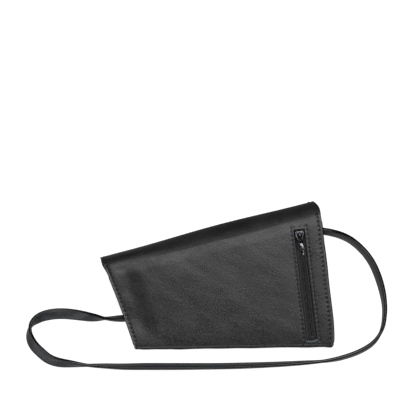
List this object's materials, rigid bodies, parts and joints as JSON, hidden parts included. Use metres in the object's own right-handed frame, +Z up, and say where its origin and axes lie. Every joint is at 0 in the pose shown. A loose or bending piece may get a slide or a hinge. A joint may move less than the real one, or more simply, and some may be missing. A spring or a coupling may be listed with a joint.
{
  "type": "neck pouch wallet",
  "caption": "Small asymmetric leather neck pouch that hangs from a long flat strap, with a fold-over flap, a press stud, inner pockets and a zipped back pocket.",
  "frame": {"origin": "middle of the pouch's plan box, on the surface it lies on, without the strap", "axes": "+X along the bottom edge towards the zip, +Y towards the folded top, +Z up out of the zipped back panel"},
  "size_m": [0.2753, 0.1293, 0.0209],
  "materials": {
    "hide": "soft black cowhide with a fine pebble grain",
    "gusset_leather": "thin black leather, matt",
    "strap_leather": "black leather with painted edges",
    "lining": "plain woven black lining",
    "zip_tape": "ribbed black polyester tape",
    "zip_coil": "black nylon coil",
    "black_metal": "polished black nickel",
    "stud_metal": "dull nickel",
    "thread": "bonded black thread"
  },
  "bodies": {
    "pouch": {"back_panel": "hide", "top_fold": "hide", "bottom_fold": "hide", "front_panel": "hide", "left_gusset": "gusset_leather", "right_gusset": "gusset_leather", "divider_panel": "lining", "card_pocket": "gusset_leather", "zip_pocket_bag": "lining", "zip_tape_left": "zip_tape", "zip_tape_right": "zip_tape", "zip_coil_left": "zip_coil", "zip_coil_right": "zip_coil", "zip_top_stops": "black_metal", "zip_bottom_stop": "black_metal", "zip_frame_stitches": "thread", "left_seam_stitches": "thread", "right_seam_stitches": "thread", "stud_ball": "stud_metal", "stud_post": "stud_metal", "strap_end_left": "strap_leather", "strap_end_right": "strap_leather", "strap": "strap_leather"},
    "flap": {"flap": "hide", "flap_lining": "lining", "flap_stitches": "thread", "stud_cap": "black_metal", "stud_socket": "stud_metal"},
    "zip_slider": {"zip_slider": "black_metal"},
    "zip_pull": {"zip_pull": "black_metal"}
  },
  "joints": [
    {"name": "flap_hinge", "type": "hinge", "parent": "pouch", "child": "flap", "pos_m": [-0.0862, 0.00523, 0.009], "axis": [0.9668, 0.2554, 0], "range_deg": [0, 135], "deforming": ["top_fold"]},
    {"name": "zip_slide", "type": "slide", "parent": "pouch", "child": "zip_slider", "axis": [0.1182, -0.9922, -0.0387], "range_m": [0, 0.071], "deforming": ["zip_coil_left", "zip_coil_right"]},
    {"name": "pull_hinge", "type": "hinge", "parent": "zip_slider", "child": "zip_pull", "pos_m": [0.06242, 0.02758, 0.01936], "axis": [-0.9929, -0.1185, 0.0054], "range_deg": [0, 150]}
  ]
}
